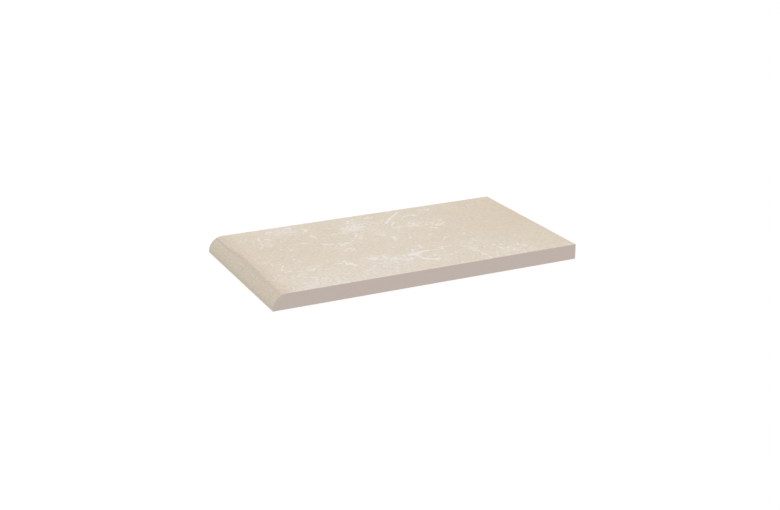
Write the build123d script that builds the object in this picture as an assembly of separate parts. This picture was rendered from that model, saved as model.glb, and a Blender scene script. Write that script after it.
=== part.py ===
"""Clinker window sill tile: one pressed and fired slab with a short edge rounded over as the nose.

Frame, in millimetres: the origin is the middle of the footprint on the bedding plane. +X runs from
the nose to the end that meets the window frame, +Y across the tile and +Z up out of the glazed face.
"""

import os

from build123d import *

# Slab
LENGTH = 245.0  # from the tip of the nose to the frame end
WIDTH = 135.0  # across, along the window
THICKNESS = 11.7  # from the bedding plane to the glazed face

# Nose: a quarter round from the glazed face down to a low upright lip
NOSE_LIP = 0.7
ARRIS_RADIUS = 0.2  # soft outer edges of the pressed slab

# Keying grooves, pressed into the underside along the length and closed at both ends
KEY_WIDTH = 4.0  # at the mouth
KEY_DEPTH = 0.8
KEY_DRAFT = 20.0  # degrees, so that the punch leaves the clay
RIB_WIDTH = 3.0  # between two grooves
RIM_WIDTH = 7.0  # least plain rim along the sides, and the plain rim at the frame end
NOSE_LAND = 24.0  # plain strip under the nose, which stands out past the wall

TIP_X = -LENGTH / 2
FRAME_X = LENGTH / 2


def slab():
    """The long section with its quarter-round nose, drawn out across the width."""
    nose_radius = THICKNESS - NOSE_LIP
    shoulder_x = TIP_X + nose_radius
    with BuildPart() as part:
        with BuildSketch(Plane.XZ):
            with BuildLine():
                Line((shoulder_x, THICKNESS), (FRAME_X, THICKNESS))
                Line((FRAME_X, THICKNESS), (FRAME_X, 0))
                Line((FRAME_X, 0), (TIP_X, 0))
                Line((TIP_X, 0), (TIP_X, NOSE_LIP))
                RadiusArc((TIP_X, NOSE_LIP), (shoulder_x, THICKNESS), nose_radius)
            make_face()
        extrude(amount=WIDTH / 2, both=True)
    return part.part


def softened(solid):
    """The solid with its outer edges rounded. The two seams of the nose are smooth already."""
    across = solid.edges().filter_by(Axis.Y)
    sides = solid.edges() - across
    nose_foot = across.sort_by(lambda edge: (edge.center() - Vector(TIP_X, 0, 0)).length)[0]
    frame_end = across.filter_by_position(Axis.X, FRAME_X, FRAME_X)
    return fillet([*sides, nose_foot, *frame_end], ARRIS_RADIUS)


def keying_grooves():
    """As many tapered grooves as the width takes, side by side between the plain rims."""
    pitch = KEY_WIDTH + RIB_WIDTH
    count = int((WIDTH - 2 * RIM_WIDTH + RIB_WIDTH) // pitch)
    start_x = TIP_X + NOSE_LAND
    end_x = FRAME_X - RIM_WIDTH
    with BuildPart() as grooves:
        with BuildSketch():
            with Locations(((start_x + end_x) / 2, 0)):
                with GridLocations(1, pitch, 1, count):
                    SlotOverall(end_x - start_x, KEY_WIDTH)
        extrude(amount=KEY_DEPTH, taper=KEY_DRAFT)
    return grooves.part


sill_tile = softened(slab()) - keying_grooves()

os.makedirs("parts", exist_ok=True)
export_step(sill_tile, "parts/sill_tile.step")
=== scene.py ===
"""Clinker window sill tile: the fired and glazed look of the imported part, in a plain white studio.

The tile is one slab. Its frame has +X from the nose to the end that meets the window frame, +Y across
the tile and +Z up out of the glazed face. Lengths are in metres, apart from the marks and grains of
the glaze, which are in millimetres.
"""

import math
from collections import namedtuple

import bpy
import numpy as np
from bpy.props import FloatProperty, FloatVectorProperty, PointerProperty
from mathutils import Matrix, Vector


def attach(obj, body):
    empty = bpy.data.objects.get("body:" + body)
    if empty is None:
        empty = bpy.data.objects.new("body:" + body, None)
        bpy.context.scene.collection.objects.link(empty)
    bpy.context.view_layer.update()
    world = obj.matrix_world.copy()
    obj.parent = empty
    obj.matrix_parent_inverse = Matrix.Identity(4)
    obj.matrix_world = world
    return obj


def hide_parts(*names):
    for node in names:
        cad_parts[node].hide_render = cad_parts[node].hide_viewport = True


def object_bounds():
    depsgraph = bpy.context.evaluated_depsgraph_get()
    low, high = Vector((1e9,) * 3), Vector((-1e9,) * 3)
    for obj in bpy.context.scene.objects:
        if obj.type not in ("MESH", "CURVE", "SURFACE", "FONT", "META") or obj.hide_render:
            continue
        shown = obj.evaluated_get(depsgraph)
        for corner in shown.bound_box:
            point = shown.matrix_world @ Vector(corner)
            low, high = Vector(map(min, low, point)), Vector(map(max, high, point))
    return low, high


bl_info = {
    "name": "Clinker window sill tile",
    "version": (1, 0, 0),
    "blender": (4, 5, 0),
    "location": "3D View > Sidebar > Sill tile",
    "description": "Adds a glazed clinker sill tile and a plain white studio",
    "category": "Add Mesh",
}

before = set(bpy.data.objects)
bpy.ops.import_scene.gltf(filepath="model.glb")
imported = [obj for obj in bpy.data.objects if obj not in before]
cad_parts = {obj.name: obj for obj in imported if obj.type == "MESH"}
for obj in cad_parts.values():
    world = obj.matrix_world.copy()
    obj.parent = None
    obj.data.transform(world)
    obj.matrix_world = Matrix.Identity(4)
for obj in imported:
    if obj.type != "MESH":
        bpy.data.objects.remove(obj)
CAD_LOW, CAD_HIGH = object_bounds()

MM = 0.001
WHITE = (1.0, 1.0, 1.0, 1.0)

# Steps of the tile's mesh
NOSE_FACE_STEPS = 20
GLAZE_EDGE_STEPS = 4
SHOULDER_STEPS = 8
NOSE_STEPS = NOSE_FACE_STEPS + GLAZE_EDGE_STEPS + SHOULDER_STEPS
ARRIS_STEPS = 4
LAND_STEPS = 10
KEY_END_STEPS = 8
KEY_STEPS = 110
RIM_STEPS = 8
RIM_ROWS = 3
SMOOTH_ANGLE = math.radians(50)

# Rows of a wall from an edge to its middle, as shares of its height, and the columns of a side
HALF_WALL = np.array((0.0, 0.05, 0.35, 0.5))
WALL_STEPS = len(HALF_WALL) - 1
SIDE_COLUMNS = slice(1, -WALL_STEPS)

# The short edges are a little softer than the long ones, so that the corners stay round
SHORT_EDGE = 1.125

# How far the step of the upper glaze spreads to each side, round the nose
GLAZE_EDGE_SPREAD = math.radians(2)

# Bevel of a groove's edges as a share of their softness, and the least gap between lines at its ends
KEY_BEVEL = 1 / 3
LEAST_LINE_GAP = 0.25 * MM

# Slow waves that leave the glazed face not quite flat
WAVE_SEED = 7
WAVE_COUNT = 6
LONGEST_WAVE = 150 * MM
SHORTEST_WAVE = 35 * MM

# The tile's texture map: the gap between its pieces, and the bedding face's scale against the glazed one
MAP_NAME = "OFBake"
MAP_GAP = 0.008
BED_MAP_SCALE = 0.65

# How marks, grains, bends and soft changes are given, with lengths in millimetres
Patch = namedtuple("Patch", "x y long short strength turn", defaults=(0,))
Streak = namedtuple("Streak", "start_width end_width strength points")
Grain = namedtuple("Grain", "size detail roughness", defaults=(2.0, 0.5))
Drift = namedtuple("Drift", "size reach")
Ramp = namedtuple("Ramp", "start end low high", defaults=(0.0, 1.0))


def patches(*rows):
    """Oval marks, each from its middle, half length, half breadth, strength and, if turned, degrees."""
    return [Patch(*row) for row in rows]


def streaks(*rows):
    """Drawn-out marks, each from its half widths at both ends, its strength and its points."""
    return [Streak(*row) for row in rows]


# Marks of the glaze, in millimetres of the plan
CLOUDS = patches(
    (-13, 41, 20, 13, 1.08, 20),
    (-24, 35, 9, 8, 0.95),
    (-9, 55, 9, 12, 0.7, -20),
    (-34, 33, 9, 4, 0.75),
    (-67, 56, 18, 14, 0.6),
    (-50, 52, 9, 8, 0.75),
    (-50, 35, 6, 11, 0.75),
    (-46, 14, 12, 6, 0.75, -20),
    (-34, 9, 10, 9, 0.9),
    (-36, -3, 10, 8, 0.85),
    (-17, 22, 7, 11, 0.8),
    (1, 16, 6, 15, 0.6, -10),
    (6, 5, 7, 9, 0.7),
    (20, 26, 11, 9, 0.75),
    (33, 27, 12, 10, 0.85),
    (52, 21, 11, 6, 0.85),
    (47, 25, 6, 6, 0.7),
    (57, 28, 7, 5, 0.8),
    (40, 50, 17, 6, 0.6),
    (60, 57, 6, 8, 0.7),
    (8.5, 58, 8, 5, 0.8, 20),
    (-28, -29, 18, 10, 1.1),
    (-13, -37, 11, 10, 1.0, -20),
    (-4, -42, 8, 8, 0.9),
    (2.5, -34, 9, 7, 0.9, 20),
    (49, -38, 8, 16, 0.3),
    (51, -58, 9, 12, 0.6),
    (72, -54, 22, 14, 0.35),
    (-92, -25, 11, 20, 0.3),
    (-76, -30, 16, 10, 0.45),
    (-54, -30, 14, 13, 0.5),
    (-74, -56, 42, 14, 0.35),
)

DOTS = patches(
    (-83.8, 44.2, 3.2, 3.0, 0.7),
    (-82.8, 43.8, 1.6, 2.0, 0.95),
    (-58.5, 61.5, 4.0, 3.6, 0.8),
    (-60, 51.5, 3.2, 3.2, 0.8),
    (-73, 44.5, 2.2, 2.0, 0.6),
    (-77.5, 44, 2.0, 2.0, 0.55),
    (-48.5, 50.6, 4.0, 3.8, 0.9),
    (-51.5, 53.6, 2.4, 2.0, 0.65),
    (-50.2, 38.2, 2.2, 3.4, 0.65),
    (-49.2, 35, 2.4, 2.2, 0.6),
    (-48.5, 30.2, 3.0, 2.8, 0.6),
    (-62.8, 24, 3.4, 3.0, 0.65),
    (-75, 13.8, 3.2, 2.8, 0.85),
    (-74, 11.4, 1.8, 2.4, 0.85),
    (-11.5, 28, 2.0, 2.4, 0.9),
    (-18.2, 15.7, 3.2, 2.6, 1.2),
    (-36.4, 18.6, 2.0, 2.2, 0.65),
    (-26, 13.8, 1.8, 2.4, 0.6),
    (-33.5, 10.5, 4.2, 3.2, 0.6),
    (-21.6, 6.6, 2.2, 2.6, 0.85),
    (-5.5, 59.6, 2.4, 4.0, 0.75),
    (8.4, 57.6, 2.4, 2.4, 0.8),
    (9.2, 4.6, 2.2, 2.2, 0.7),
    (33.5, 53, 1.8, 3.4, 0.6),
    (33.6, 0.8, 2.6, 2.6, 1.2),
    (34.5, 24.5, 4.6, 4.2, 0.9),
    (43, 23.5, 3.2, 2.4, 1.0),
    (52, 20.6, 6.4, 3.4, 0.85),
    (57.4, 28.4, 3.8, 3.0, 0.85),
    (56.8, 22.4, 2.4, 2.4, 0.8),
    (43.9, 48.6, 3.0, 3.6, 0.85),
    (59.8, 57, 2.6, 4.0, 0.65),
    (42.7, 15, 2.4, 2.4, 0.75),
    (45.5, 13.6, 2.6, 3.4, 1.1),
    (-82, -6.5, 2.4, 2.8, 0.7),
    (-95, -11.6, 1.8, 2.2, 0.85),
    (-99.8, -3, 1.2, 3, 0.65),
    (-97.5, -29, 1.8, 2.2, 0.85),
    (-94, -28, 2.2, 2.4, 1.1),
    (-77.1, -25.3, 2.0, 2.6, 0.9),
    (-72, -27, 2.2, 2.4, 0.9),
    (-78, -13, 1.6, 2.4, 0.6),
    (-104, -32.5, 1.4, 2.6, 0.6),
    (-53.8, -23.6, 1.5, 2.6, 0.9),
    (-50.3, -26, 2.7, 3.4, 1.0),
    (-54.9, -28.9, 2.5, 2.4, 0.95),
    (-58, -32.5, 2.6, 2.6, 0.6),
    (-57.5, -41.5, 2.6, 2.2, 0.75, -40),
    (-66, -36.5, 1.2, 2.4, 0.75),
    (-66.8, -24, 3.0, 3.0, 0.6),
    (-58.7, -50.5, 1.6, 2.6, 0.7),
    (-42.5, -50.4, 2.8, 2.2, 0.8, 30),
    (-28, -27, 3.5, 3.5, 0.8),
    (-19.8, -29.6, 3.6, 2.6, 0.95),
    (-29, -31.6, 3.4, 3.0, 0.9),
    (-6, -35.5, 2.2, 5, 1.0),
    (-4, -43, 4.4, 3.2, 0.85),
    (2.4, -34.4, 7.0, 6.0, 1.45, 15),
    (2.5, -22.6, 1.8, 2.4, 0.85),
    (5.6, -24.4, 1.6, 2.6, 0.6),
    (-4.2, -13.8, 2.2, 3.0, 1.0),
    (14.3, -12.8, 1.8, 3.2, 0.6),
    (1.6, -9, 1.2, 2.6, 0.6),
    (26.8, -32.4, 3.0, 3.8, 1.0),
    (34, -28, 2.8, 2.2, 0.7),
    (16.4, -39.5, 1.6, 3.6, 0.75),
    (15.5, -43, 2.4, 3.0, 0.6),
    (23.8, -46, 1.8, 3.2, 0.8),
    (27.4, -46.5, 1.8, 3.2, 0.6),
    (33, -45, 1.8, 3, 0.6),
    (13, -52.2, 2.6, 2.4, 0.95),
    (4.8, -53.6, 1.8, 4.4, 0.8),
    (-35.3, -45.2, 2.2, 2.4, 0.95),
    (25.6, -58.2, 2.0, 1.8, 0.7),
    (57.8, -42.2, 1.4, 2.2, 0.8),
    (66.5, -41.3, 2.8, 2.4, 0.95),
    (72, -43, 2.4, 3.2, 0.8),
    (67.8, -48, 2.2, 3.6, 0.85),
    (90, -47.2, 2.0, 1.8, 0.55),
    (86.1, -53.2, 2.8, 2.8, 1.3),
    (76.5, -61.5, 3.4, 1.8, 0.75),
    (71.5, -34, 1.6, 2.6, 0.55),
    (-24.6, -65, 2.0, 1.6, 0.9),
    (-20, -66, 1.8, 1.4, 0.9),
    (-16, -66, 1.6, 1.4, 0.9),
    (26.8, -64, 1.6, 2.0, 0.85),
    (30.5, -65.4, 2.0, 1.6, 0.8),
    (46.5, -65.5, 2.4, 1.6, 0.8),
    (51, -65.5, 2.4, 2.0, 0.95),
    (56.5, -64.5, 2.0, 2.0, 0.8),
    (65, -65.6, 2.6, 1.8, 1.0),
    (80, -65.4, 2.0, 2.0, 0.95),
)

STREAKS = streaks(
    (0.9, 1.4, 0.6, ((-84.5, 65), (-86.5, 55))),
    (1.5, 1.2, 0.85, ((-87, 53), (-88.6, 49.5))),
    (1.4, 1.3, 1.0, ((-88.8, 48.5), (-89.8, 44.5), (-90.5, 42))),
    (1.3, 1.3, 0.75, ((-88.5, 36.5), (-91.5, 31.5))),
    (1.4, 0.9, 1.0, ((-92, 31), (-93.2, 29), (-95.5, 25.3))),
    (1.1, 0.9, 0.6, ((-91.3, 38.5), (-91.5, 34))),
    (1.0, 0.9, 0.7, ((-97.6, 52), (-99.2, 48.8))),
    (1.2, 1.2, 0.85, ((-94.4, 46), (-95, 41.8))),
    (1.0, 0.9, 0.6, ((-96.4, 38), (-97.6, 33.5))),
    (1.2, 1.2, 0.75, ((-79, 57), (-77, 61))),
    (1.3, 1.3, 0.75, ((-76.8, 57), (-75.2, 62))),
    (1.6, 1.5, 0.8, ((-71, 53), (-67.6, 56))),
    (1.2, 1.3, 0.8, ((-65, 46.5), (-62.5, 48.6))),
    (1.2, 1.2, 0.8, ((-62.5, 54.5), (-60, 58))),
    (1.4, 1.2, 0.8, ((-54, 44.3), (-51.4, 48))),
    (1.2, 1.0, 0.6, ((-45, 54), (-42, 57.5))),
    (1.6, 2.0, 0.55, ((-72, 24), (-65, 23.5), (-57, 20.5))),
    (1.0, 0.9, 0.9, ((-62.3, 22.3), (-60.7, 25.3))),
    (2.0, 2.2, 0.75, ((-48.6, 15.4), (-45.5, 12.6))),
    (2.0, 2.0, 0.7, ((-44.5, 12.6), (-41, 13.2))),
    (1.6, 1.5, 0.75, ((-13, 52), (-9, 58))),
    (2.6, 2.2, 0.9, ((-16, 26), (-19, 21.5))),
    (1.5, 2.1, 1.15, ((36, 62), (28, 54), (20, 46.2))),
    (1.8, 2.4, 0.95, ((19.6, 45.6), (17, 42.4))),
    (2.6, 2.4, 1.1, ((16.4, 41.6), (14.6, 39.4))),
    (1.6, 1.5, 0.95, ((21.4, 39), (20.6, 36.4))),
    (2.0, 1.6, 0.8, ((18.8, 35.8), (16.8, 33.6))),
    (1.6, 1.6, 0.9, ((30.5, 66.5), (28, 64))),
    (1.2, 1.0, 0.75, ((15.1, 50.5), (13.9, 43.6))),
    (2.4, 2.0, 0.7, ((-1, 18), (2, 13))),
    (2.8, 4.0, 0.95, ((7, 8.8), (5, 5.4))),
    (3.8, 2.4, 0.9, ((5, 5.2), (4.6, 0.8))),
    (1.8, 1.6, 0.7, ((17.4, 1.2), (15.4, -1))),
    (2.4, 2.0, 0.75, ((31, 31), (33, 35))),
    (1.1, 1.1, 1.0, ((48.6, 25), (46.2, 20.8))),
    (1.2, 1.0, 0.9, ((53.6, 51.2), (52.3, 48.4))),
    (1.3, 1.1, 0.95, ((62, 58.6), (60, 56))),
    (1.5, 1.3, 0.7, ((-93.6, -14), (-95.6, -19))),
    (1.4, 1.4, 0.75, ((-96.4, -20.5), (-98.4, -24.5))),
    (1.5, 1.2, 1.2, ((-75.3, -29.8), (-77.8, -33.6))),
    (3.6, 3.2, 1.3, ((-50.3, -32), (-48.2, -31.8), (-46.4, -36.6))),
    (1.4, 1.4, 0.65, ((-94, -40), (-90, -37.5), (-86.5, -37.5))),
    (1.0, 1.0, 0.7, ((-86.8, -40), (-87.6, -45.5))),
    (1.6, 1.8, 1.0, ((-80.6, -47), (-84.2, -49.3))),
    (1.4, 1.2, 0.8, ((-77.8, -50.3), (-79, -52.8))),
    (1.7, 1.4, 0.9, ((-36.6, -2), (-41, -5.6))),
    (1.5, 1.6, 0.8, ((-32.4, -2.5), (-31.8, -6.5))),
    (2.6, 3.0, 0.95, ((14.6, -18), (14, -22.3))),
    (1.0, 1.3, 0.65, ((43, -7.8), (40.2, -11.2))),
    (1.5, 1.2, 0.6, ((40, -11.4), (37.5, -15))),
    (1.0, 1.4, 0.65, ((60, -7), (57.8, -9.8))),
    (4.0, 3.0, 1.2, ((5, -33.8), (8.6, -31.8), (10.8, -30.4))),
    (2.8, 2.2, 1.1, ((10.8, -30.4), (13, -30.6), (16, -31.4))),
    (1.6, 1.4, 0.7, ((16, -31.4), (23, -31.6))),
    (1.5, 1.7, 0.72, ((23, -30.2), (36, -27.8))),
    (2.4, 1.6, 0.75, ((3.6, -30.4), (5, -26.6), (6.6, -24))),
    (1.4, 1.2, 0.6, ((7, -27), (9, -23.8))),
    (2.6, 2.4, 0.9, ((4.4, -37.5), (4, -44.4))),
    (3.2, 3.2, 1.2, ((4.6, -45.4), (7, -47), (9.6, -49.6))),
    (2.8, 2.6, 1.0, ((10, -49.8), (15.8, -50.4))),
    (1.6, 1.2, 0.75, ((-35.6, -46), (-41.8, -51.8))),
    (3.4, 3.4, 0.5, ((46.6, -35.5), (48.6, -43.5), (50.4, -52))),
    (1.7, 1.7, 0.85, ((47.6, -57.4), (50.4, -53.6))),
    (1.7, 1.5, 0.8, ((51.4, -55.4), (50, -60), (50.4, -65.5))),
    (0.7, 1.8, 1.15, ((84.9, -44.6), (82.6, -49.2))),
    (1.2, 1.0, 0.6, ((82.2, -51), (81.6, -56))),
    (1.5, 1.5, 0.75, ((73.8, -50.4), (71.6, -54.4))),
    (1.6, 1.4, 0.7, ((74.6, -56.8), (72.4, -60.6))),
    (1.0, 0.9, 0.95, ((60.7, -26.4), (59.3, -28.8))),
    (1.4, 1.3, 0.8, ((91.6, -60.2), (90, -63.6))),
    (1.6, 1.6, 0.6, ((75.5, -56.2), (82, -55.4))),
    (1.1, 1.0, 0.7, ((87.5, -59), (90, -56.2))),
)

SPECKLES = patches(
    (-78, -50, 54, 40, 1.0),
    (-68, 55, 34, 24, 0.9),
    (-94, -12, 26, 40, 0.35),
    (72, -53, 32, 26, 1.0),
    (-15, -50, 40, 30, 0.7),
    (-4, 38, 48, 36, 0.8),
    (35, 30, 40, 34, 0.55),
)

HAZES = patches(
    (-76, -62, 60, 34, 0.87),
    (-18, -44, 46, 34, 0.95),
    (-66, 57, 30, 22, 0.45),
    (-12, 43, 34, 26, 0.65),
    (38, 27, 34, 18, 0.45),
    (72, -56, 34, 24, 0.5),
    (48.5, -36, 11, 22, 0.95),
    (-40, 8, 34, 20, 0.45),
    (14, -47, 28, 28, 0.65),
    (-76, -68, 44, 14, 0.8),
    (56, -26, 20, 8, 0.9),
    (-36, -60, 34, 18, 0.95),
    (8, 14, 22, 20, 0.35),
    (56, 58, 20, 14, 0.4),
    (-86, 36, 16, 24, 0.75),
    (-20, -20, 60, 14, 0.3),
)

WARM_AREAS = patches(
    (130, 20, 128, 125, 1.0),
    (-95, 20, 100, 55, 0.41),
    (-32, 38, 18, 40, 0.45),
    (14, 58, 30, 16, 0.3),
)

WARM_SPOTS = patches(
    (104, 37, 12, 9, 0.8),
    (114, 43, 9, 12, 0.9),
    (115, 12, 9, 12, 0.8),
    (103, -7.5, 6, 4, 0.9),
    (96, -20, 16, 14, 0.5),
)

IRON_SPECKS = patches(
    (-114.9, -10, 0.75, 0.95, 0.85),
    (-120.5, 26, 0.5, 0.9, 0.4),
    (-119.2, 4, 0.6, 0.9, 0.4),
)

# How far the marks stray from where they are laid: the size of the bends and their reach
CLOUD_DRIFTS = (Drift(9.0, 4.0), Drift(2.2, 1.6))
MARK_DRIFTS = (Drift(4.0, 0.9), Drift(1.1, 0.6))
SPECKLE_DRIFT = Drift(12.0, 6.0)
SPECK_DRIFT = Drift(2.0, 0.9)
HAZE_DRIFT = Drift(14.0, 6.0)
WARM_DRIFT = Drift(40.0, 10.0)
ROSY_DRIFT = Drift(18.0, 3.0)
TAN_DRIFT = Drift(6.0, 3.0)

# How the grain breaks the marks up, and how strong they come out
CRUMBS = Grain(3.0, 3.0, 0.65)
CRUMB_SWING = 3.6
LUMPS = Grain(5.0, 4.0, 0.6)
LUMP_SWING = 1.4
MARK_ROUGHNESS = 0.7
BREAKING = Ramp(0.0, 0.35)
CLOUD_RAMP = Ramp(0.38, 0.98, 0.0, 0.6)
MARK_RAMP = Ramp(0.16, 0.85, 0.0, 0.77)
HAZE_STRENGTH = 0.6
HAZE_RAMP = Ramp(0.0, 1.3, 0.0, 0.6)

# Specks: the sizes of their cells, the share of the cells that have one, and their reach in a cell
SPECK_SIZES = (3.6, 2.0)
SPECKLE_BASE = 0.03
SPECKLE_SHARE = 0.7
SPECK_LEAST = 0.15
SPECK_SPREAD = 0.3
SPECK_EDGE = Ramp(1.0, 0.3)
SPECK_STRENGTH = 0.6

# Grain of the glaze and the body, and how far it swings their brightness
SAND = Grain(0.9, 2.0, 0.7)
GRIT = Grain(2.2, 4.0, 0.65)
MOTTLE = Grain(17.0, 4.0, 0.55)
GLAZE_SAND = 0.36
GLAZE_MOTTLE = 0.09
GLAZE_GRIT = 0.41
NOSE_SAND = 0.85
BODY_GRIT = 0.06

# Factors on red, green and blue that the glaze varies between in small lumps, less so at the frame end
GREEN_TINGE = (0.984, 1.008, 0.99, 1.0)
ROSY_TINGE = (1.016, 0.992, 1.01, 1.0)
TINGE_LUMPS = Grain(2.8)
TINGE_RAMP = Ramp(0.3, 0.7)
TINGE_FADE = Ramp(85.0, 40.0, 0.5, 1.0)

# Rosy glaze by its distance from the tip, and thin spots by their flecks
ROSY_RAMP = Ramp(19.0, 9.0)
TAN_FLECKS = Grain(4.0, 4.0)
TAN_RAMP = Ramp(0.35, 0.75)

# Painted highlight, a pale beaded band along the rim at -Y: its grain, and where it is across it, along it
# and from the tip
RIM_SHEEN_GRAIN = Grain(3.2, 1.0)
RIM_SHEEN_RAMP = Ramp(0.35, 0.65, 0.05, 0.38)
RIM_SHEEN_BAND = Ramp(3.6, 1.4)
RIM_SHEEN_FADE = Ramp(95.0, 60.0, 0.3, 1.0)
RIM_SHEEN_START = Ramp(10.0, 22.0)

# Nose: its colour by height, darker towards the foot as painted shade; the strip of painted shade on the
# shoulder above the seam by its place across; and the seam, a dark line darkened as painted shade of the
# glaze step
NOSE_SHADE_RISE = Ramp(0.5, 5.5)
NOSE_EDGE = Ramp(0.3, -0.3)
SHADE_STRIP_WIDTH = Ramp(50.0, 8.0, 0.9, 3.1)
SHADE_STRIP_LOSS = Ramp(-5.0, -45.0, 0.0, 1.3)
SHADE_STRIP_SWAYS = Grain(9.0)
SHADE_STRIP_SWING = 2.0
SHADE_STRIP_EDGE = Ramp(-0.9, 0.9)
SEAM_SHADE_LINE = Ramp(0.9, 0.0)
SEAM_SHADE_FADE = Ramp(10.0, 45.0, 0.05, 0.5)

# How the seam and the edge of the bare body waver
WAVERS = Grain(3.0)
WAVER_SWING = 0.3

# Bare body: its soft edge as a share of the arris, how it follows the waver, and the bed's start at the tip
BARE_EDGE = 0.6
BARE_WAVER = -0.2
BED_START = 1.0

# Pale wash on the ribs: how the grit wears it, how much is left and how high it reaches
WASH_GRIT = 0.6
WASH_WEAR = Ramp(0.35, 0.65, 0.0, 0.7)
WASH_HEIGHT = Ramp(0.12, 0.02)

# Roughness, and the relief of sand and grit
GLAZE_ROUGHNESS = 0.58
BLOOM_POLISH = -0.06
ROUGHNESS_GRIT = 0.16
NOSE_ROUGHNESS = 0.7
BODY_ROUGHNESS = 0.88
SPECULAR = 0.25
GLAZE_RELIEF = (0.35, 0.5)
ROUGH_RELIEF = (1.6, 0.8)
RELIEF_DEPTH = 0.03 * MM

# Light of the floor without a shadow, a little over white so that it stays white
FLOOR_LIGHT = 1.02


def linear(red, green, blue):
    """A colour given in screen values from 0 to 255, as the linear values that shaders take."""
    shares = [value / 255 for value in (red, green, blue)]
    return [s / 12.92 if s <= 0.04045 else ((s + 0.055) / 1.055) ** 2.4 for s in shares]


def size_property(label, text, default):
    return FloatProperty(name=label, description=text, default=default, min=0, precision=5, unit="LENGTH")


def angle_property(label, text, degrees):
    return FloatProperty(name=label, description=text, default=math.radians(degrees), subtype="ANGLE")


def share_property(label, text, default):
    return FloatProperty(name=label, description=text, default=default, min=0, max=1, subtype="FACTOR")


def colour_property(label, text, *screen):
    return FloatVectorProperty(
        name=label, description=text, default=linear(*screen), min=0, max=1, size=3, subtype="COLOR"
    )


class TileSizes(bpy.types.PropertyGroup):
    """Sizes of the slab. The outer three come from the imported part."""

    length: size_property("Length", "From the tip of the nose to the frame end", CAD_HIGH.x - CAD_LOW.x)
    width: size_property("Width", "Across the tile, along the window", CAD_HIGH.y - CAD_LOW.y)
    thickness: size_property("Thickness", "From the bedding plane to the glazed face", CAD_HIGH.z - CAD_LOW.z)
    nose_lip: size_property("Nose lip", "Height of the upright lip under the nose", 0.7 * MM)
    arris: size_property("Arris", "Radius of the outer edges", 0.2 * MM)
    key_width: size_property("Key width", "Width of a keying groove at its mouth", 4.0 * MM)
    key_depth: size_property("Key depth", "Depth of a keying groove", 0.8 * MM)
    key_draft: angle_property("Key draft", "Slope of a keying groove's walls", 20)
    key_edge: size_property("Key edge", "Half the width of the soft edges of a keying groove", 0.12 * MM)
    rib_width: size_property("Rib width", "Between two keying grooves", 3.0 * MM)
    rim_width: size_property("Rim width", "Least plain rim round the keying grooves", 7.0 * MM)
    nose_land: size_property("Nose land", "Plain strip under the nose", 24.0 * MM)
    glaze_edge: angle_property("Glaze edge", "Where the upper glaze stops, from the foot of the nose", 63)
    glaze_step: size_property("Glaze step", "Thickness of the upper glaze at its edge", 0.08 * MM)
    sway: size_property("Sway", "How far the glazed face leaves its plane", 0.06 * MM)


class TileColours(bpy.types.PropertyGroup):
    """Colours of the glaze and of the fired body."""

    glaze: colour_property("Glaze", "The pale stone-look glaze", 221, 209, 192)
    glaze_warm: colour_property("Warm glaze", "The deeper glaze of some areas", 215, 200.5, 180.5)
    glaze_rosy: colour_property("Rosy glaze", "The glaze along the shoulder", 214, 199, 181)
    glaze_tan: colour_property("Tan glaze", "Small spots where the glaze is thin", 212, 196, 170)
    bloom: colour_property("Bloom", "Clouds, streaks and flecks in the glaze", 238, 231.5, 225)
    veil: colour_property("Veil", "The thin haze round the bloom", 232, 230, 226.5)
    nose: colour_property("Nose", "The sandy glaze of the nose", 206, 194.5, 176)
    # Painted shade: the sandy glaze made darker at the foot of the nose, where less light reaches it
    nose_foot_shade: colour_property("Nose foot", "The sandy glaze where it ends at the foot", 200, 187, 168)
    # Painted shade: the upper glaze made darker in a strip over the shoulder of the nose, above the seam
    shoulder: colour_property("Shoulder", "The upper glaze where it thins out over the nose", 202, 189, 171)
    # Partly painted shade: the line where the two glazes meet, darkened as the shade of the glaze step
    seam: colour_property("Seam", "The fine line where the two glazes meet", 188, 175, 157)
    iron: colour_property("Iron", "Specks of iron burnt out on the nose", 150, 132, 112)
    body: colour_property("Body", "The bare fired clay", 199, 185, 176)
    engobe: colour_property("Engobe", "The pale wash on the ribs of the bedding face", 222, 214, 207)


class StudioSettings(bpy.types.PropertyGroup):
    """The camera, the light and the floor."""

    camera_place: FloatVectorProperty(
        name="Camera",
        description="Where the camera stands",
        default=(-0.4284, -0.8835, 0.3525),
        subtype="TRANSLATION",
        unit="LENGTH",
    )
    camera_turn: angle_property("Turn", "How far the camera is turned from +Y towards +X", 25.83)
    camera_dip: angle_property("Dip", "How far the camera looks down", 19.73)
    camera_lens: FloatProperty(name="Lens", description="Focal length in millimetres", default=63.1, min=1)
    fill: FloatProperty(name="Fill", description="Even light from all round", default=0.85, min=0)
    key: FloatProperty(name="Key", description="Light of the lamp on a level face", default=0.15, min=0)
    key_spread: angle_property("Key spread", "How wide the lamp is, seen from the tile", 60)
    key_tilt: angle_property("Key tilt", "How far the lamp leans from overhead towards the camera", 15)
    shadow: share_property("Shadow", "Share of the floor's light that the tile can take away", 0.14)
    floor_reach: size_property("Floor reach", "From the tile to each edge of the floor", 6.0)
    floor_drop: size_property("Floor drop", "Gap between the floor and the bedding plane", 0.2 * MM)


def smoothstep(start, end, value):
    share = np.clip((value - start) / (end - start), 0, 1)
    return share * share * (3 - 2 * share)


def arc(middle, radius, angles):
    """Points round a middle, and their outward directions."""
    ways = np.stack((np.cos(angles), np.sin(angles)), axis=1)
    return np.array(middle) + radius * ways, ways


def straight(xs, zs, way):
    """Points of a straight stretch, and their outward direction."""
    points = np.stack(np.broadcast_arrays(xs, zs), axis=1).astype(float)
    return points, np.broadcast_to(np.array(way, float), points.shape)


def joined(*stretches):
    """The points and outward directions of stretches that each start where the last one ends."""
    points, ways = stretches[0]
    for next_points, next_ways in stretches[1:]:
        points = np.concatenate((points, next_points[1:]))
        ways = np.concatenate((ways, next_ways[1:]))
    return points, ways


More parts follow.
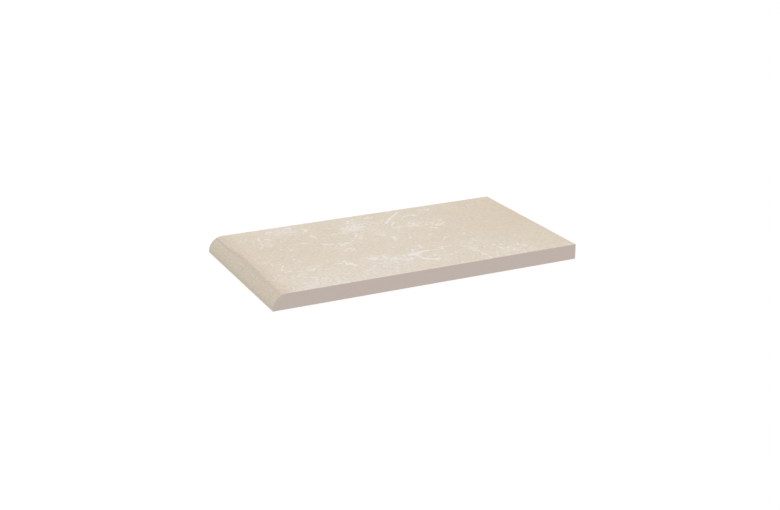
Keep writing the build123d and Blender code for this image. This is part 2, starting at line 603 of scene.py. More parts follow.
class Section:
    """The tile's long section, as an upper and a lower line from the nose's lip to the frame end."""

    def __init__(self, sizes):
        self.sizes = sizes
        self.tip = -sizes.length / 2
        self.end = sizes.length / 2
        self.radius = sizes.thickness - sizes.nose_lip
        self.edge = SHORT_EDGE * sizes.arris
        self.key_start = self.tip + sizes.nose_land
        self.key_end = self.end - sizes.rim_width
        self.lip_middle = (self.edge + sizes.nose_lip) / 2
        self.wall_rows = HALF_WALL * (sizes.thickness - 2 * self.edge)
        self.stations = self.flat_stations()

    def flat_stations(self):
        """Places along the flat faces, close together where the grooves end."""
        sizes = self.sizes
        first = self.key_start - sizes.key_edge
        last = self.key_end + sizes.key_edge
        turn = sizes.key_edge + sizes.key_width / 2
        bend = turn * (1 - np.cos(np.linspace(0, math.pi / 2, KEY_END_STEPS + 1)))
        return np.concatenate(
            (
                np.linspace(self.tip + self.radius, first, LAND_STEPS, endpoint=False),
                first + bend[:-1],
                np.linspace(first + turn, last - turn, KEY_STEPS, endpoint=False),
                last - bend[:0:-1],
                np.linspace(last, self.end - self.edge, RIM_STEPS + 1),
            )
        )

    def upper_line(self):
        """Up the lip, round the nose, along the glazed face and half way down the frame end."""
        sizes = self.sizes
        top = sizes.thickness
        glaze_edge = math.pi - sizes.glaze_edge
        below = glaze_edge + GLAZE_EDGE_SPREAD
        above = glaze_edge - GLAZE_EDGE_SPREAD
        nose_angles = np.concatenate(
            (
                np.linspace(math.pi, below, NOSE_FACE_STEPS, endpoint=False),
                np.linspace(below, above, GLAZE_EDGE_STEPS, endpoint=False),
                np.linspace(above, math.pi / 2, SHOULDER_STEPS + 1),
            )
        )
        turn = np.linspace(math.pi / 2, 0, ARRIS_STEPS + 1)
        return joined(
            straight(self.tip, np.array((self.lip_middle, sizes.nose_lip)), (-1, 0)),
            arc((self.tip + self.radius, sizes.nose_lip), self.radius, nose_angles),
            straight(self.stations, top, (0, 1)),
            arc((self.end - self.edge, top - self.edge), self.edge, turn),
            straight(self.end, top - self.edge - self.wall_rows, (1, 0)),
        )

    def lower_line(self):
        """Round the nose's foot, along the bedding face and half way up the frame end."""
        turn = np.linspace(0, math.pi / 2, ARRIS_STEPS + 1)
        foot_steps = NOSE_STEPS - ARRIS_STEPS
        return joined(
            straight(self.tip, np.array((self.lip_middle, self.edge)), (-1, 0)),
            arc((self.tip + self.edge, self.edge), self.edge, math.pi + turn),
            straight(np.linspace(self.tip + self.edge, self.stations[0], foot_steps + 1), 0, (0, -1)),
            straight(self.stations, 0, (0, -1)),
            arc((self.end - self.edge, self.edge), self.edge, -math.pi / 2 + turn),
            straight(self.end, self.edge + self.wall_rows, (1, 0)),
        )


class Keys:
    """The keying grooves of the bedding face."""

    def __init__(self, sizes, section):
        self.start = section.key_start + sizes.key_width / 2
        self.end = section.key_end - sizes.key_width / 2
        self.half_width = sizes.key_width / 2
        self.pitch = sizes.key_width + sizes.rib_width
        self.count = int((sizes.width - 2 * sizes.rim_width + sizes.rib_width) // self.pitch)
        run = sizes.key_depth * math.tan(sizes.key_draft)
        bevel = KEY_BEVEL * sizes.key_edge
        self.insets = np.array((-sizes.key_edge, bevel, run - bevel, run + sizes.key_edge))
        wall = bevel / math.tan(sizes.key_draft)
        self.depths = np.array((0, wall, sizes.key_depth - wall, sizes.key_depth))

    def middle(self, number):
        return (number - (self.count - 1) / 2) * self.pitch

    def past_end(self, x):
        """How far each place is past the middles of the round ends."""
        return np.maximum(np.maximum(self.start - x, x - self.end), 0)

    def depth(self, x, y):
        number = np.clip(np.round(y / self.pitch + (self.count - 1) / 2), 0, self.count - 1)
        inset = self.half_width - np.hypot(y - self.middle(number), self.past_end(x))
        return np.interp(inset, self.insets, self.depths)

    def lines(self, x):
        """Lines along one groove's edges and middle, as distances from its middle at each place."""
        reach = (self.half_width - self.insets)[:, None]
        half = np.sqrt(np.maximum(reach**2 - self.past_end(x) ** 2, 0))
        least = LEAST_LINE_GAP * np.arange(len(reach), 0, -1)[:, None]
        half = np.maximum(half, least)
        return np.concatenate((-half, np.zeros((1, len(x))), half[::-1]))

    def rows(self, x, side):
        """All rows of the bedding face, from one side to the other, at each place."""
        lines = self.lines(x)
        edge = np.full((1, len(x)), -side)
        first = self.middle(0) + lines
        shares = np.linspace(0, 1, RIM_ROWS + 1, endpoint=False)[:, None]
        rim = edge + shares * (first[:1] - edge)
        rows = [rim, first]
        for number in range(1, self.count):
            following = self.middle(number) + lines
            rib = (rows[-1][-1:] + following[:1]) / 2
            rows += [rib, following]
        rows.append(-rim[::-1])
        return np.concatenate(rows)


def bed_rows(sizes, section, keys, x):
    """Rows that follow the grooves where there are some, and are even at the nose and the frame end."""
    side = sizes.width / 2 - sizes.arris
    rows = keys.rows(x, side)
    even = np.linspace(-side, side, len(rows))[:, None]
    from_nose = smoothstep(section.stations[0], section.key_start - sizes.key_edge, x)
    from_end = smoothstep(section.stations[-1], section.key_end + sizes.key_edge, x)
    return even + from_nose * from_end * (rows - even)


def with_long_edges(sizes, rows):
    """The rows with those of the rounded long edges added, and how far the section shrinks in each."""
    turn = np.linspace(0, math.pi / 2, ARRIS_STEPS, endpoint=False)
    places = np.repeat((sizes.width / 2 - sizes.arris * (1 - np.cos(turn)))[:, None], rows.shape[1], axis=1)
    shrink = sizes.arris * (1 - np.sin(turn))
    rows_across = np.concatenate((-places, rows, places[::-1]))
    shrinks = np.concatenate((shrink, np.zeros(len(rows)), shrink[::-1]))
    return rows_across, shrinks[:, None]


def waves(x, y):
    """Slow waves between 0 and 1 over the plan."""
    chance = np.random.default_rng(WAVE_SEED)
    lengths = np.geomspace(LONGEST_WAVE, SHORTEST_WAVE, WAVE_COUNT)
    total = 0
    for wave_length in lengths:
        turn, start = chance.uniform(0, 2 * math.pi, 2)
        way = x * math.cos(turn) + y * math.sin(turn)
        total = total + wave_length * np.sin(2 * math.pi * way / wave_length + start)
    return 0.5 + 0.5 * total / lengths.sum()


def glaze_dips(sizes, x, y, ways):
    """How far the upper face lies inside the plain slab: its waves, and the step below the upper glaze."""
    rise = np.arctan2(ways[:, 1], -ways[:, 0])
    below = smoothstep(sizes.glaze_edge + GLAZE_EDGE_SPREAD, sizes.glaze_edge - GLAZE_EDGE_SPREAD, rise)
    step = sizes.glaze_step * below * rise / sizes.glaze_edge
    return sizes.sway * waves(x, y) * ways[:, 1] + step


def surface(line, rows, inset):
    """A grid of points: the section's line in each row, moved in by its inset."""
    points, ways = line
    x = points[:, 0] - ways[:, 0] * inset
    z = points[:, 1] - ways[:, 1] * inset
    return np.stack(np.broadcast_arrays(x, rows, z), axis=2)


def cells(grid):
    """The four corners of each cell of a grid."""
    return np.stack((grid[:-1, :-1], grid[:-1, 1:], grid[1:, 1:], grid[1:, :-1]), axis=2)


def line_lengths(points):
    """How far along a line each of its points is."""
    return np.concatenate(((0,), np.cumsum(np.hypot(*np.diff(points, axis=0).T))))


class Skin:
    """Gathers the faces of a closed mesh, with a place on the texture map for each corner."""

    def __init__(self):
        self.points = np.zeros((0, 3))
        self.faces = []
        self.places = []

    def add_points(self, grid):
        """Adds a grid of points and gives the grid of their numbers."""
        first = len(self.points)
        self.points = np.concatenate((self.points, grid.reshape(-1, 3)))
        return first + np.arange(grid[..., 0].size).reshape(grid.shape[:-1])

    def add_faces(self, numbers, places, corners=(0, 1, 2, 3)):
        """Adds faces from cells of point numbers and of places on the map."""
        self.faces += numbers[..., corners].reshape(-1, len(corners)).tolist()
        self.places.append(places[..., corners, :].reshape(-1, 2))

    def add_grid(self, numbers, places):
        self.add_faces(cells(numbers), cells(places))

    def add_wall(self, numbers, places):
        """Adds a grid whose rows, apart from the first and the last, all start at one point."""
        numbers = cells(numbers)
        places = cells(places)
        for part in (np.s_[:1], np.s_[-1:], np.s_[1:-1, 1:]):
            self.add_faces(numbers[part], places[part])
        self.add_faces(numbers[1:-1, 0], places[1:-1, 0], (0, 1, 2))

    def mesh(self, name):
        mesh = bpy.data.meshes.new(name)
        mesh.from_pydata(self.points, [], self.faces)
        texture_map = mesh.uv_layers.new(name=MAP_NAME)
        texture_map.uv.foreach_set("vector", np.concatenate(self.places).ravel())
        mesh.shade_smooth()
        mesh.set_sharp_from_angle(angle=SMOOTH_ANGLE)
        return mesh


def map_places(along, across, scale, bottom):
    """Places on the texture map of points along and across a piece of it that starts at this height."""
    places = np.stack(np.broadcast_arrays(along, across), axis=2) * scale
    return places + np.array((MAP_GAP, bottom))


def side_wall(upper, lower):
    """Points of a side between the section's lines. Its inner rows start at the middle of the nose's lip."""
    shares = np.concatenate((HALF_WALL, 1 - HALF_WALL[-2::-1]))[:, None, None]
    wall = upper[SIDE_COLUMNS] + shares * (lower[SIDE_COLUMNS] - upper[SIDE_COLUMNS])
    wall[1:-1, 0] = upper[0]
    return wall


def side_numbers(skin, wall, above, below):
    """Numbers of a side's points. Only those inside it are new, the others are the section's own."""
    inside = skin.add_points(wall[1:-1, 1:-1])
    lip = np.full(len(inside), above[0])
    frame_end = np.concatenate((above[-WALL_STEPS:], below[-2 : -WALL_STEPS - 1 : -1]))
    inner_rows = np.column_stack((lip, inside, frame_end))
    return np.concatenate((above[None, SIDE_COLUMNS], inner_rows, below[None, SIDE_COLUMNS]))


def tile_mesh(sizes):
    """The slab as one closed mesh: an upper and a lower face that meet at both ends, and two sides."""
    section = Section(sizes)
    keys = Keys(sizes, section)
    upper_line = section.upper_line()
    lower_line = section.lower_line()

    lower_rows, shrinks = with_long_edges(sizes, bed_rows(sizes, section, keys, lower_line[0][:, 0]))
    side = sizes.width / 2 - sizes.arris
    even_rows = np.linspace(-side, side, len(lower_rows) - 2 * ARRIS_STEPS)[:, None]
    even_rows = np.repeat(even_rows, len(upper_line[0]), axis=1)
    upper_rows = with_long_edges(sizes, even_rows)[0]
    dips = glaze_dips(sizes, upper_line[0][:, 0], upper_rows, upper_line[1])
    upper = surface(upper_line, upper_rows, shrinks + dips)
    lower = surface(lower_line, lower_rows, shrinks)
    lower[..., 2] += keys.depth(lower[..., 0], lower[..., 1])

    skin = Skin()
    upper_numbers = skin.add_points(upper)
    inner_numbers = skin.add_points(lower[:, 1:-1])
    lower_numbers = np.concatenate((upper_numbers[:, :1], inner_numbers, upper_numbers[:, -1:]), axis=1)

    upper_lengths = line_lengths(upper_line[0])
    lower_lengths = line_lengths(lower_line[0])
    scale = (1 - 2 * MAP_GAP) / upper_lengths[-1]
    bed_scale = BED_MAP_SCALE * scale

    bottom = MAP_GAP
    upper_places = map_places(upper_lengths, upper_rows + sizes.width / 2, scale, bottom)
    skin.add_grid(upper_numbers, upper_places)
    bottom += sizes.width * scale + MAP_GAP
    lower_places = map_places(lower_lengths, lower_rows + sizes.width / 2, bed_scale, bottom)
    skin.add_grid(lower_numbers[::-1], lower_places[::-1])
    bottom += sizes.width * bed_scale + MAP_GAP

    for row, facing in ((0, -1), (-1, 1)):
        wall = side_wall(upper[row], lower[row])
        numbers = side_numbers(skin, wall, upper_numbers[row], lower_numbers[row])
        places = map_places(wall[..., 0] - section.tip, wall[..., 2], scale, bottom)
        skin.add_wall(numbers[::facing], places[::facing])
        bottom += sizes.thickness * scale + MAP_GAP
    return skin.mesh("clinker_tile")


class Nodes:
    """Adds nodes to a shader. An input is given as a value or as another node's output."""

    def __init__(self, tree):
        self.tree = tree
        tree.nodes.clear()

    def add(self, kind, inputs, output=0, **settings):
        node = self.tree.nodes.new(kind)
        for name, value in settings.items():
            setattr(node, name, value)
        for key, value in inputs.items():
            socket = node.inputs[key]
            if isinstance(value, bpy.types.NodeSocket):
                self.tree.links.new(value, socket)
            else:
                socket.default_value = value
        return node.outputs[output] if node.outputs else node

    def math(self, operation, *values):
        return self.add("ShaderNodeMath", dict(enumerate(values)), operation=operation)

    def largest(self, first, *others):
        for other in others:
            first = self.math("MAXIMUM", first, other)
        return first

    def vector(self, operation, *values):
        return self.add("ShaderNodeVectorMath", dict(enumerate(values)), operation=operation)

    def measure(self, operation, *values):
        return self.add("ShaderNodeVectorMath", dict(enumerate(values)), "Value", operation=operation)

    def scaled(self, vector, factor):
        return self.add("ShaderNodeVectorMath", {0: vector, "Scale": factor}, operation="SCALE")

    def noise(self, place, grain, output=0):
        """Clouded noise from 0 to 1 whose largest lumps are about the grain's size."""
        inputs = {
            "Vector": place,
            "Scale": 1 / grain.size,
            "Detail": grain.detail,
            "Roughness": grain.roughness,
        }
        return self.add("ShaderNodeTexNoise", inputs, output)

    def swing(self, noise, reach):
        """Noise as a value around 0, from about minus to plus half of this reach."""
        return self.math("MULTIPLY_ADD", noise, reach, -0.5 * reach)

    def wander(self, place, *drifts):
        """The place moved in lumps of each drift's size, by up to about its reach each way."""
        for drift in drifts:
            noise = self.noise(place, Grain(drift.size), output=1)
            moved = self.scaled(self.vector("SUBTRACT", noise, (0.5, 0.5, 0.5)), 2 * drift.reach)
            place = self.vector("ADD", place, moved)
        return place

    def ramp(self, value, ramp):
        """A smooth rise or fall. It ends by itself, and its clamp would fill the shader's memory."""
        names = ("From Min", "From Max", "To Min", "To Max")
        inputs = {"Value": value, **dict(zip(names, ramp))}
        return self.add("ShaderNodeMapRange", inputs, interpolation_type="SMOOTHSTEP", clamp=False)

    def mix(self, factor, first, second):
        return self.add("ShaderNodeMix", {0: factor, 6: first, 7: second}, 2, data_type="RGBA")

    def shaded(self, colour, light):
        """The colour made lighter or darker by a factor, or by one for each of its parts."""
        inputs = {0: 1.0, 6: colour, 7: light}
        return self.add("ShaderNodeMix", inputs, 2, data_type="RGBA", blend_type="MULTIPLY")

    def blend(self, factor, first, second):
        return self.add("ShaderNodeMix", {0: factor, 2: first, 3: second}, 0, data_type="FLOAT")


def paint(colour):
    return (*colour, 1.0)


def shifted(ramp, by):
    return ramp._replace(start=ramp.start + by, end=ramp.end + by)


def mark_group(name, inputs):
    """The nodes and the inputs of a group that lays one mark over the marks under it."""
    group = bpy.data.node_groups.new(name, "ShaderNodeTree")
    nodes = Nodes(group)
    for label, kind in {"Place": "Vector", "Under": "Float", **inputs}.items():
        group.interface.new_socket(label, in_out="INPUT", socket_type=f"NodeSocket{kind}")
    group.interface.new_socket("Over", in_out="OUTPUT", socket_type="NodeSocketFloat")
    given = group.nodes.new("NodeGroupInput").outputs
    return nodes, given


def close_group(nodes, given, distance):
    """Gives a mark that is strongest at no distance and ends at 1, over what is under it."""
    mark = nodes.ramp(distance, Ramp(1.0, 0.0, 0.0, given["Strength"]))
    nodes.add("NodeGroupOutput", {"Over": nodes.math("MAXIMUM", given["Under"], mark)})
    return nodes.tree


def patch_group():
    """A round or oval mark that fades out from its middle."""
    inputs = {"Middle": "Vector", "Along": "Vector", "Across": "Vector", "Strength": "Float"}
    nodes, given = mark_group("glaze_patch", inputs)
    offset = nodes.vector("SUBTRACT", given["Place"], given["Middle"])
    along = nodes.measure("DOT_PRODUCT", offset, given["Along"])
    across = nodes.measure("DOT_PRODUCT", offset, given["Across"])
    square = nodes.math("MULTIPLY_ADD", along, along, nodes.math("MULTIPLY", across, across))
    return close_group(nodes, given, nodes.math("SQRT", square))


def streak_group():
    """A straight mark between two points, with a width at each, that fades out to its sides."""
    inputs = {"Start": "Vector", "Way": "Vector", "Width": "Float", "End width": "Float", "Strength": "Float"}
    nodes, given = mark_group("glaze_streak", inputs)
    way = given["Way"]
    offset = nodes.vector("SUBTRACT", given["Place"], given["Start"])
    reached = nodes.measure("DOT_PRODUCT", offset, way)
    along = nodes.math("DIVIDE", reached, nodes.measure("DOT_PRODUCT", way, way))
    along = nodes.math("MINIMUM", nodes.math("MAXIMUM", along, 0.0), 1.0)
    away = nodes.measure("DISTANCE", offset, nodes.scaled(way, along))
    width = nodes.blend(along, given["Width"], given["End width"])
    return close_group(nodes, given, nodes.math("DIVIDE", away, width))


class ClinkerNodes(Nodes):
    """The parts of the tile's shader. Its places are in millimetres."""

    def __init__(self, tree, sizes, colours):
        super().__init__(tree)
        self.sizes = sizes
        self.colours = colours
        self.half_length = sizes.length / MM / 2
        self.half_width = sizes.width / MM / 2
        self.place = self.scaled(self.add("ShaderNodeTexCoord", {}, "Object"), 1 / MM)
        self.plan = self.vector("MULTIPLY", self.place, (1, 1, 0))
        self.along = self.add("ShaderNodeSeparateXYZ", {0: self.place})
        self.across = self.along.node.outputs["Y"]
        self.height = self.along.node.outputs["Z"]
        self.sand = self.noise(self.place, SAND)
        self.grit = self.noise(self.place, GRIT)
        self.mottle = self.noise(self.plan, MOTTLE)
        self.tinge = self.glaze_tinge()
        self.waver = self.swing(self.noise(self.place, WAVERS), WAVER_SWING)
        self.patch = patch_group()

    def glaze_tinge(self):
        """Factors on the glaze's red, green and blue."""
        lumps = self.ramp(self.noise(self.place, TINGE_LUMPS), TINGE_RAMP)
        tinge = self.mix(lumps, GREEN_TINGE, ROSY_TINGE)
        return self.mix(self.ramp(self.along, TINGE_FADE), WHITE, tinge)

    def lay_patches(self, place, marks, under=0.0):
        """The patches, each as strong as it says in its middle, laid over what is under them."""
        for mark in marks:
            way_x = math.cos(math.radians(mark.turn))
            way_y = math.sin(math.radians(mark.turn))
            inputs = {
                "Place": place,
                "Under": under,
                "Middle": (mark.x, mark.y, 0),
                "Along": (way_x / mark.long, way_y / mark.long, 0),
                "Across": (-way_y / mark.short, way_x / mark.short, 0),
                "Strength": mark.strength,
            }
            under = self.add("ShaderNodeGroup", inputs, node_tree=self.patch)
        return under

    def lay_streaks(self, place, marks, under):
        """The streaks, each along its points, laid over what is under them."""
        group = streak_group()
        for mark in marks:
            widths = np.linspace(mark.start_width, mark.end_width, len(mark.points)).tolist()
            for start, end, width, end_width in zip(mark.points, mark.points[1:], widths, widths[1:]):
                inputs = {
                    "Place": place,
                    "Under": under,
                    "Start": (*start, 0),
                    "Way": (end[0] - start[0], end[1] - start[1], 0),
                    "Width": width,
                    "End width": end_width,
                    "Strength": mark.strength,
                }
                under = self.add("ShaderNodeGroup", inputs, node_tree=group)
        return under

    def speckles(self, place, size, density):
        """Scattered specks: one in a cell of about this size, in the share of cells that density gives."""
        inputs = {"Vector": place, "Scale": 1 / size}
        away = self.add("ShaderNodeTexVoronoi", inputs, "Distance", voronoi_dimensions="2D")
        chance = self.add("ShaderNodeSeparateColor", {"Color": away.node.outputs["Color"]})
        reach = self.math("MULTIPLY_ADD", chance.node.outputs[1], SPECK_SPREAD, SPECK_LEAST)
        speck = self.ramp(self.math("DIVIDE", away, reach), SPECK_EDGE)
        return self.math("MULTIPLY", speck, self.math("LESS_THAN", chance, density))

    def broken(self, field, grain, ramp):
        """A soft field of marks broken up by grain, which leaves places without marks alone."""
        grain = self.math("MULTIPLY", grain, self.ramp(field, BREAKING))
        return self.ramp(self.math("ADD", field, grain), ramp)

    def bloom_and_haze(self):
        """How much pale bloom the glaze has, in clouds, streaks, dots and specks, and how much haze."""
        crumbs = self.swing(self.noise(self.plan, CRUMBS), CRUMB_SWING)
        lumps = self.swing(self.noise(self.plan, LUMPS), LUMP_SWING)
        rough = self.math("ADD", crumbs, lumps)

        clouds = self.lay_patches(self.wander(self.plan, *CLOUD_DRIFTS), CLOUDS)
        clouds = self.broken(clouds, rough, CLOUD_RAMP)

        mark_place = self.wander(self.plan, *MARK_DRIFTS)
        marks = self.lay_patches(mark_place, DOTS)
        marks = self.lay_streaks(mark_place, STREAKS, marks)
        marks = self.broken(marks, self.math("MULTIPLY", rough, MARK_ROUGHNESS), MARK_RAMP)

        density = self.lay_patches(self.wander(self.plan, SPECKLE_DRIFT), SPECKLES, SPECKLE_BASE)
        density = self.math("MULTIPLY", density, SPECKLE_SHARE)
        speck_place = self.wander(self.plan, SPECK_DRIFT)
        specks = self.largest(*[self.speckles(speck_place, size, density) for size in SPECK_SIZES])
        specks = self.math("MULTIPLY", specks, SPECK_STRENGTH)

        haze = self.lay_patches(self.wander(self.plan, HAZE_DRIFT), HAZES)
        haze = self.broken(self.math("MULTIPLY", haze, HAZE_STRENGTH), rough, HAZE_RAMP)
        return self.largest(clouds, marks, specks), haze

    def plain_glaze(self):
        """The stone-look glaze without its marks: cream with warmer areas, and rosy at the shoulder."""
        colours = self.colours
        warm = self.lay_patches(self.wander(self.plan, WARM_DRIFT), WARM_AREAS)
        colour = self.mix(warm, paint(colours.glaze), paint(colours.glaze_warm))
        along = self.add("ShaderNodeSeparateXYZ", {0: self.wander(self.plan, ROSY_DRIFT)})
        rosy = self.ramp(along, shifted(ROSY_RAMP, -self.half_length))
        colour = self.mix(rosy, colour, paint(colours.glaze_rosy))
        tan = self.lay_patches(self.wander(self.plan, TAN_DRIFT), WARM_SPOTS)
        tan = self.math("MULTIPLY", tan, self.ramp(self.noise(self.plan, TAN_FLECKS), TAN_RAMP))
        return self.mix(tan, colour, paint(colours.glaze_tan))

    def upper_glaze(self, bloom, haze):
        """The glaze of the face with its grain, haze and bloom, and a painted highlight of pale beads along
        its rim at -Y.
        """
        glaze = self.plain_glaze()
        light = self.math("ADD", self.swing(self.sand, GLAZE_SAND), self.swing(self.mottle, GLAZE_MOTTLE))
        light = self.math("ADD", light, self.swing(self.grit, GLAZE_GRIT))
        glaze = self.shaded(glaze, self.math("ADD", light, 1.0))
        # Painted highlight: pale beads along the rim at -Y, laid on in the bloom colour
        rim_sheen = self.ramp(self.noise(self.plan, RIM_SHEEN_GRAIN), RIM_SHEEN_RAMP)
        rim = self.math("MULTIPLY", self.ramp(self.across, shifted(RIM_SHEEN_BAND, -self.half_width)), rim_sheen)
        rim = self.math("MULTIPLY", rim, self.ramp(self.along, RIM_SHEEN_FADE))
        rim = self.math("MULTIPLY", rim, self.ramp(self.along, shifted(RIM_SHEEN_START, -self.half_length)))
        glaze = self.mix(haze, glaze, paint(self.colours.veil))
        return self.mix(self.math("MAXIMUM", bloom, rim), glaze, paint(self.colours.bloom))

    def with_nose(self, glaze):
        """The glaze with the sandy nose, darker towards its foot as painted shade, a strip of painted shade
        on the shoulder above the seam, a fine seam line darkened as painted shade of the glaze step, and the
        nose's share.
        """
        sizes = self.sizes
        colours = self.colours
        nose_radius = (sizes.thickness - sizes.nose_lip) / MM
        seam_from_tip = nose_radius * (1 - math.cos(sizes.glaze_edge))

        sandy = self.math("ADD", self.swing(self.sand, NOSE_SAND), 1.0)
        # Painted shade: the nose's glaze darker towards the foot, by height
        nose = self.mix(self.ramp(self.height, NOSE_SHADE_RISE), paint(colours.nose_foot_shade), paint(colours.nose))
        from_seam = self.math("ADD", self.along, self.half_length - seam_from_tip)
        from_seam = self.math("ADD", from_seam, self.waver)
        # Painted shade: a darker strip in the shoulder colour above the seam, whose width changes across the
        # tile
        strip = self.math("SUBTRACT", self.ramp(self.across, SHADE_STRIP_WIDTH), self.ramp(self.across, SHADE_STRIP_LOSS))
        strip = self.math("ADD", strip, self.swing(self.noise(self.plan, SHADE_STRIP_SWAYS), SHADE_STRIP_SWING))
        past_shade_strip = self.ramp(self.math("SUBTRACT", from_seam, strip), SHADE_STRIP_EDGE)
        on_nose = self.ramp(from_seam, NOSE_EDGE)
        thin = self.mix(on_nose, paint(colours.shoulder), nose)
        colour = self.mix(past_shade_strip, self.shaded(thin, sandy), glaze)

        # Painted shade: the seam where the two glazes meet made a darker line, as the shade of the glaze step
        seam_shade_mask = self.ramp(self.math("ABSOLUTE", from_seam), SEAM_SHADE_LINE)
        seam_shade_mask = self.math("MULTIPLY", seam_shade_mask, self.ramp(self.across, SEAM_SHADE_FADE))
        colour = self.mix(seam_shade_mask, colour, paint(colours.seam))
        specks = self.lay_patches(self.plan, IRON_SPECKS)
        return self.mix(specks, colour, paint(colours.iron)), on_nose

    def bare_share(self):
        """One where the fired clay is bare: on the sides, the frame end and the bedding face."""
        arris = self.sizes.arris / MM
        out_side = self.math("SUBTRACT", self.math("ABSOLUTE", self.across), self.half_width - arris)
        out_end = self.math("SUBTRACT", self.along, self.half_length - arris)
        out_under = self.math("SUBTRACT", BARE_EDGE * arris, self.height)
        out_bed = self.math("SUBTRACT", self.sizes.key_depth / MM + arris, self.height)
        out_bed = self.math("MINIMUM", out_bed, self.math("ADD", self.along, self.half_length - BED_START))
        outward = self.largest(out_side, out_end, out_under, out_bed)
        outward = self.math("MULTIPLY_ADD", self.waver, BARE_WAVER, outward)
        return self.ramp(outward, Ramp(0.0, BARE_EDGE * arris))

    def body_colour(self):
        """The fired clay, with what is left of a pale wash on the ribs of the bedding face."""
        light = self.math("ADD", self.swing(self.grit, BODY_GRIT), 1.0)
        body = self.shaded(paint(self.colours.body), light)
        worn = self.ramp(self.math("ADD", self.mottle, self.swing(self.grit, WASH_GRIT)), WASH_WEAR)
        wash = self.math("MULTIPLY", worn, self.ramp(self.height, WASH_HEIGHT))
        return self.mix(wash, body, paint(self.colours.engobe))

    def roughness(self, bloom, on_nose, bare):
        polish = self.math("MULTIPLY", bloom, BLOOM_POLISH)
        roughness = self.math("ADD", polish, self.swing(self.grit, ROUGHNESS_GRIT))
        roughness = self.math("ADD", roughness, GLAZE_ROUGHNESS)
        roughness = self.blend(on_nose, roughness, NOSE_ROUGHNESS)
        return self.blend(bare, roughness, BODY_ROUGHNESS)

    def grain_relief(self, sand, grit):
        fine = self.math("MULTIPLY", self.sand, sand)
        return self.math("ADD", fine, self.math("MULTIPLY", self.grit, grit))

    def relief(self, on_nose, bare):
        """The relief of the grain, which is coarser on the nose and the bare body."""
        smooth = self.grain_relief(*GLAZE_RELIEF)
        rough = self.grain_relief(*ROUGH_RELIEF)
        height = self.blend(self.largest(on_nose, bare), smooth, rough)
        return self.add("ShaderNodeBump", {"Strength": 1.0, "Distance": RELIEF_DEPTH, "Height": height})


def clinker_material(sizes, colours):
    """Glaze on the face and the nose, bare fired clay on the sides and the bedding face."""
    material = bpy.data.materials.new("glazed_clinker")
    material.use_nodes = True
    nodes = ClinkerNodes(material.node_tree, sizes, colours)
    bloom, haze = nodes.bloom_and_haze()
    colour, on_nose = nodes.with_nose(nodes.upper_glaze(bloom, haze))
    colour = nodes.shaded(colour, nodes.mix(bloom, nodes.tinge, WHITE))
    bare = nodes.bare_share()
    finish = {
        "Base Color": nodes.mix(bare, colour, nodes.body_colour()),
        "Roughness": nodes.roughness(bloom, on_nose, bare),
        "Normal": nodes.relief(on_nose, bare),
        "Specular IOR Level": SPECULAR,
    }
    shader = nodes.add("ShaderNodeBsdfPrincipled", finish)
    nodes.add("ShaderNodeOutputMaterial", {"Surface": shader})
    return material


def seen_rays(nodes):
    """One for rays that show a thing to the camera, straight on or in a reflection or through glass."""
    rays = nodes.add("ShaderNodeLightPath", {}).node.outputs
    return nodes.largest(rays["Is Camera Ray"], rays["Is Glossy Ray"], rays["Is Transmission Ray"])


def studio_world(settings):
    """White to the camera, and an even fill light on the tile."""
    world = bpy.data.worlds.new("white_studio")
    world.use_nodes = True
    nodes = Nodes(world.node_tree)
    strength = nodes.blend(seen_rays(nodes), settings.fill, 1.0)
    light = nodes.add("ShaderNodeBackground", {"Color": WHITE, "Strength": strength})
    nodes.add("ShaderNodeOutputWorld", {"Surface": light})
    return world


def floor_material(settings):
    """White paper that keeps a faint shadow, and is clear from below."""
    material = bpy.data.materials.new("white_floor")
    material.use_nodes = True
    nodes = Nodes(material.node_tree)
    glow = nodes.add("ShaderNodeEmission", {"Color": WHITE, "Strength": FLOOR_LIGHT - settings.shadow})
    shade = (settings.shadow, settings.shadow, settings.shadow, 1)
    paper = nodes.add("ShaderNodeBsdfDiffuse", {"Color": shade})
    lit = nodes.add("ShaderNodeAddShader", {0: glow, 1: paper})
    clear = nodes.add("ShaderNodeBsdfTransparent", {})
    below = nodes.add("ShaderNodeNewGeometry", {}, "Backfacing")
    shader = nodes.add("ShaderNodeMixShader", {0: below, 1: lit, 2: clear})
    nodes.add("ShaderNodeOutputMaterial", {"Surface": shader})
    return material


def add_object(name, data):
    thing = bpy.data.objects.new(name, data)
    bpy.context.scene.collection.objects.link(thing)
    return thing


class AddTile(bpy.types.Operator):
    """Add the glazed tile in place of the plain solid"""

    bl_idname = "sill_tile.add_tile"
    bl_label = "Add tile"

    def execute(self, context):
        sizes = context.scene.sill_tile_sizes
        tile = add_object("clinker_tile", tile_mesh(sizes))
        tile.data.materials.append(clinker_material(sizes, context.scene.sill_tile_colours))
        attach(tile, "root")
        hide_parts("sill_tile")
        return {"FINISHED"}


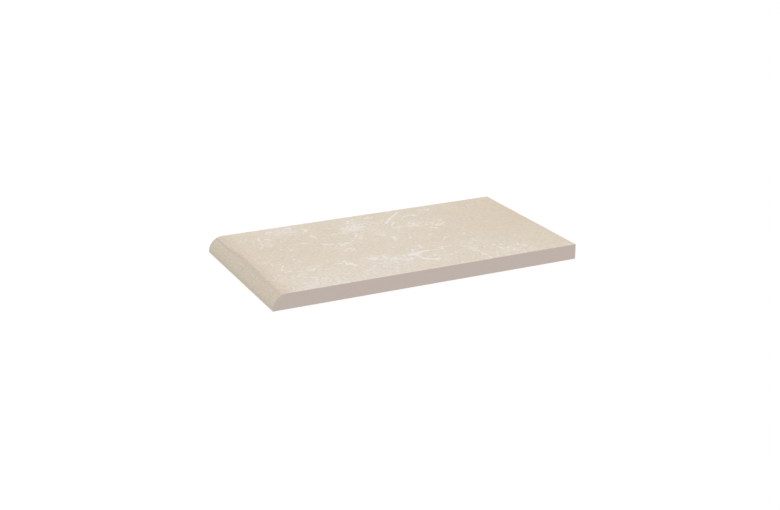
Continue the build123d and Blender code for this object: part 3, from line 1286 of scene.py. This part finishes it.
class AddStudio(bpy.types.Operator):
    """Add the camera, the light and the white floor"""

    bl_idname = "sill_tile.add_studio"
    bl_label = "Add studio"

    def execute(self, context):
        scene = context.scene
        settings = scene.sill_tile_studio
        scene.view_settings.view_transform = "Standard"
        scene.world = studio_world(settings)

        camera = add_object("camera", bpy.data.cameras.new("camera"))
        camera.data.lens = settings.camera_lens
        camera.location = settings.camera_place
        camera.rotation_euler = (math.pi / 2 - settings.camera_dip, 0, -settings.camera_turn)
        scene.camera = camera

        lamp = add_object("key_lamp", bpy.data.lights.new("key_lamp", "SUN"))
        lamp.data.energy = math.pi * settings.key
        lamp.data.angle = settings.key_spread
        lamp.rotation_euler = (settings.key_tilt, 0, -settings.camera_turn)

        reach = settings.floor_reach
        corners = [(-reach, -reach, 0), (reach, -reach, 0), (reach, reach, 0), (-reach, reach, 0)]
        sheet = bpy.data.meshes.new("floor")
        sheet.from_pydata(corners, [], [(0, 1, 2, 3)])
        floor = add_object("floor", sheet)
        floor.location.z = CAD_LOW.z - settings.floor_drop
        floor.data.materials.append(floor_material(settings))
        floor.visible_diffuse = False
        floor.visible_shadow = False
        return {"FINISHED"}


class SillTilePanel(bpy.types.Panel):
    """Sizes, colours and light of the tile, and the buttons that add it"""

    bl_idname = "VIEW3D_PT_sill_tile"
    bl_label = "Clinker sill tile"
    bl_space_type = "VIEW_3D"
    bl_region_type = "UI"
    bl_category = "Sill tile"

    def draw(self, context):
        scene = context.scene
        for settings, operator in (
            (scene.sill_tile_sizes, None),
            (scene.sill_tile_colours, AddTile),
            (scene.sill_tile_studio, AddStudio),
        ):
            column = self.layout.column()
            for name in settings.__annotations__:
                column.prop(settings, name)
            if operator:
                column.operator(operator.bl_idname)


CLASSES = (TileSizes, TileColours, StudioSettings, AddTile, AddStudio, SillTilePanel)


def register():
    for each in CLASSES:
        bpy.utils.register_class(each)
    bpy.types.Scene.sill_tile_sizes = PointerProperty(type=TileSizes)
    bpy.types.Scene.sill_tile_colours = PointerProperty(type=TileColours)
    bpy.types.Scene.sill_tile_studio = PointerProperty(type=StudioSettings)


def unregister():
    del bpy.types.Scene.sill_tile_studio
    del bpy.types.Scene.sill_tile_colours
    del bpy.types.Scene.sill_tile_sizes
    for each in reversed(CLASSES):
        bpy.utils.unregister_class(each)


def main():
    register()
    bpy.ops.sill_tile.add_tile()
    bpy.ops.sill_tile.add_studio()


if __name__ == "__main__":
    main()
